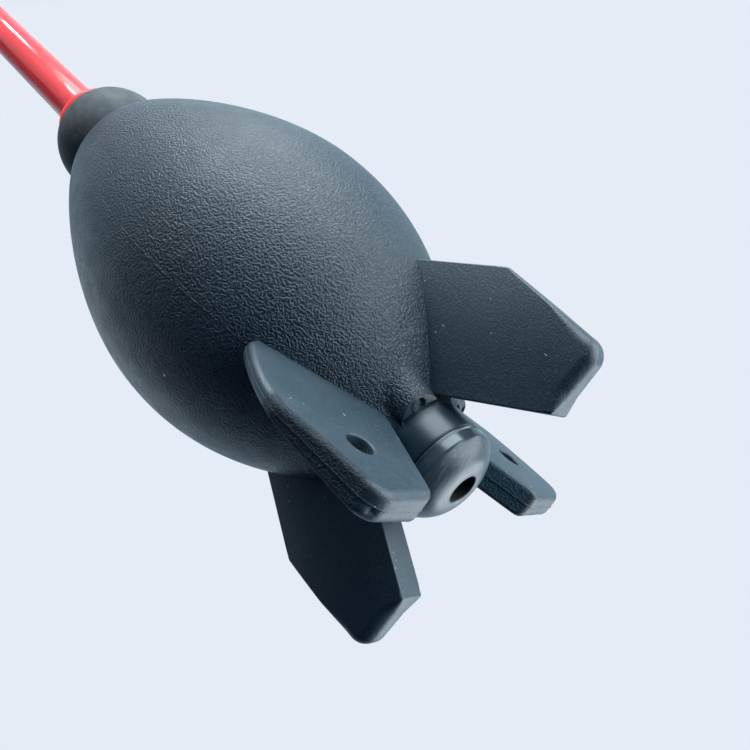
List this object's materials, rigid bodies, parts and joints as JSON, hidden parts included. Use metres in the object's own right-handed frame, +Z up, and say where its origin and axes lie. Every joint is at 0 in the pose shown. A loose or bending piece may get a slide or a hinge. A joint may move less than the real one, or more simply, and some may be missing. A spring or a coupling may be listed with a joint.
{
  "type": "dust blower bulb",
  "caption": "Rocket-shaped rubber air blower for dusting watch movements: squeeze bulb on tail fins, disc valve in the tail, long hard nozzle in the neck",
  "frame": {"origin": "On the bulb's axis, at the height of the fins' feet", "axes": "+Z up along the bulb's axis towards the nozzle's tip; +X towards one of the two fins with a lanyard hole; +Y towards a plain fin"},
  "size_m": [0.0672, 0.0626, 0.19],
  "materials": {
    "bulb_rubber": "fine leather grain, satin",
    "fin_rubber": "satin faces, coarse-grained outer edges",
    "nozzle_plastic": "glossy",
    "cap_plastic": "glossy",
    "valve_plastic": "as moulded",
    "disc_rubber": "matte"
  },
  "bodies": {
    "blower": {"bulb_body": "bulb_rubber", "eyelet_fin_right": "fin_rubber", "eyelet_fin_left": "fin_rubber", "plain_fin_back": "fin_rubber", "plain_fin_front": "fin_rubber", "intake_cap": "cap_plastic", "valve_seat": "valve_plastic", "valve_cage": "valve_plastic"},
    "disc": {"valve_disc": "disc_rubber"},
    "nozzle": {"nozzle_tube": "nozzle_plastic"}
  },
  "joints": [
    {"name": "valve_lift", "type": "slide", "parent": "blower", "child": "disc", "axis": [0, 0, 1], "range_m": [0, 0.0012]},
    {"name": "nozzle_pull", "type": "slide", "parent": "blower", "child": "nozzle", "axis": [0, 0, 1], "range_m": [0, 0.02]}
  ]
}
